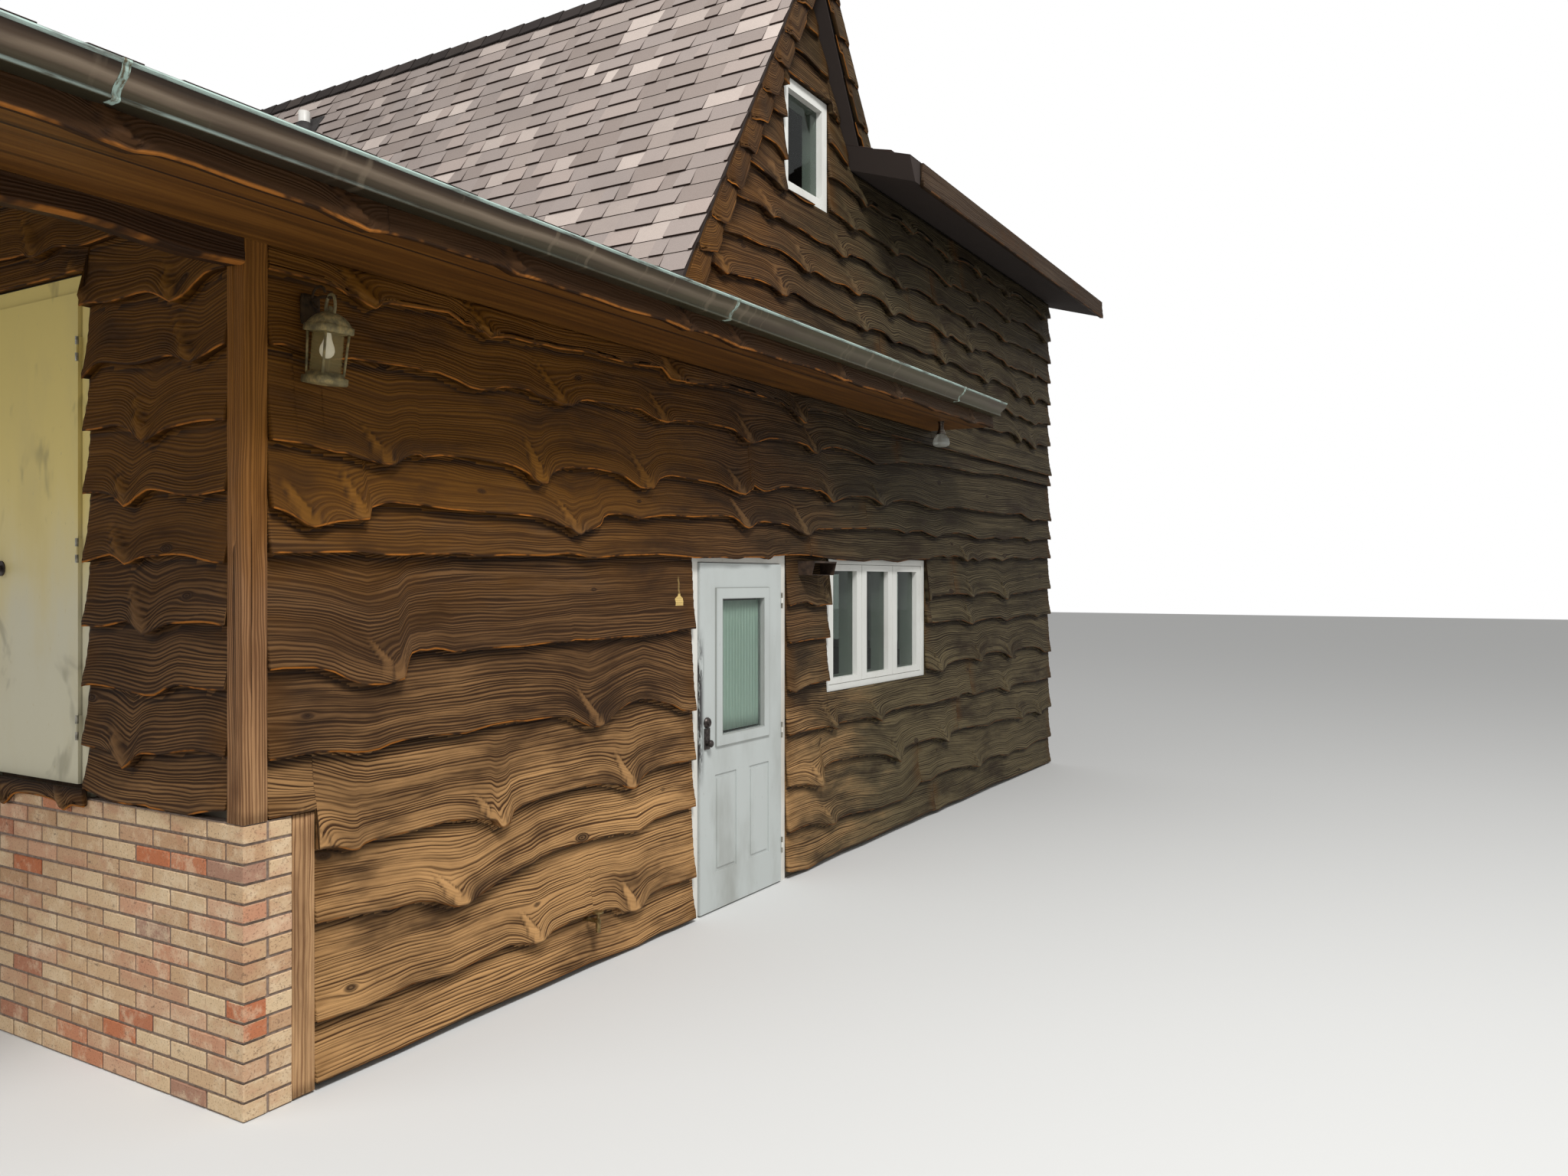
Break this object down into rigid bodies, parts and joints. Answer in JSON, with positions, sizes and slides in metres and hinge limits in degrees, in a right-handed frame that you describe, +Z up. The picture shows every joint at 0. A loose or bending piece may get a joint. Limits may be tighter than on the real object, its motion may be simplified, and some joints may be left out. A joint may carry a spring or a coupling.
{
  "type": "lakeside timber cabin",
  "caption": "Two-storey timber cabin with dark live-edge lapped boards, a low shingled porch wing, a steep cross gable, brick base, white entry door and triple window",
  "frame": {"origin": "middle of the ground floor's outline at ground level, where the front, back, lake and porch walls' outer faces are equally far", "axes": "X along the front wall toward the lake end, Y from the front wall to the back wall, Z up; metres"},
  "size_m": [13.2, 8.62, 6.2853],
  "materials": {
    "dark_timber": "satin",
    "painted_wood": "satin",
    "cream_paint": "satin",
    "brick": "matte",
    "stone": "matte",
    "shingle": "matte",
    "gutter_metal": "satin",
    "dark_metal": "satin",
    "hinge_metal": "satin",
    "window_glass": "gloss"
  },
  "bodies": {
    "house": {"ground_floor": "stone", "store_floor": "dark_timber", "upper_floor": "dark_timber", "brick_base": "brick", "corner_posts": "dark_timber", "front_wall_left": "dark_timber", "front_wall_over_door": "dark_timber", "front_wall_right": "dark_timber", "front_upper_wall": "dark_timber", "back_wall": "dark_timber", "back_upper_wall": "dark_timber", "lake_wall": "dark_timber", "porch_wall_front": "dark_timber", "porch_wall_over_door": "dark_timber", "porch_wall_back": "dark_timber", "siding_front": "dark_timber", "siding_back": "dark_timber", "siding_lake": "dark_timber", "siding_porch": "dark_timber", "low_roof_front": "shingle", "low_roof_back": "shingle", "steep_roof_left": "shingle", "steep_roof_right": "shingle", "lake_roof_front": "shingle", "lake_roof_back": "shingle", "pent_roofs": "shingle", "ridge_caps": "shingle", "soffits": "dark_timber", "fascias": "dark_timber", "gutters": "gutter_metal", "porch_posts": "dark_timber", "porch_beams": "dark_timber", "ridge_beam": "dark_timber", "vent_pipe": "painted_wood", "entry_frame": "painted_wood", "store_frame": "cream_paint", "front_window_frames": "painted_wood", "front_window_glass": "window_glass", "back_window_frames": "painted_wood", "back_window_glass": "window_glass", "lake_window_frames": "painted_wood", "lake_window_glass": "window_glass", "wall_lantern": "dark_metal", "lantern_glass": "window_glass", "soffit_lamp": "dark_metal", "vent_hood": "dark_metal", "hose_tap": "dark_metal"},
    "entry_door_leaf": {"entry_door": "painted_wood", "entry_glass": "window_glass", "entry_hinges": "hinge_metal", "entry_handle": "dark_metal"},
    "store_door_leaf": {"store_door": "cream_paint", "store_hinges": "hinge_metal", "store_knob": "dark_metal"}
  },
  "joints": [
    {"name": "entry_door_hinge", "type": "hinge", "parent": "house", "child": "entry_door_leaf", "pos_m": [-0.8955, -3.641, 1.026], "axis": [0, 0, 1], "range_deg": [0, 100]},
    {"name": "store_door_hinge", "type": "hinge", "parent": "house", "child": "store_door_leaf", "pos_m": [-4.691, -2.5525, 2.113], "axis": [0, 0, 1], "range_deg": [0, 100]}
  ]
}
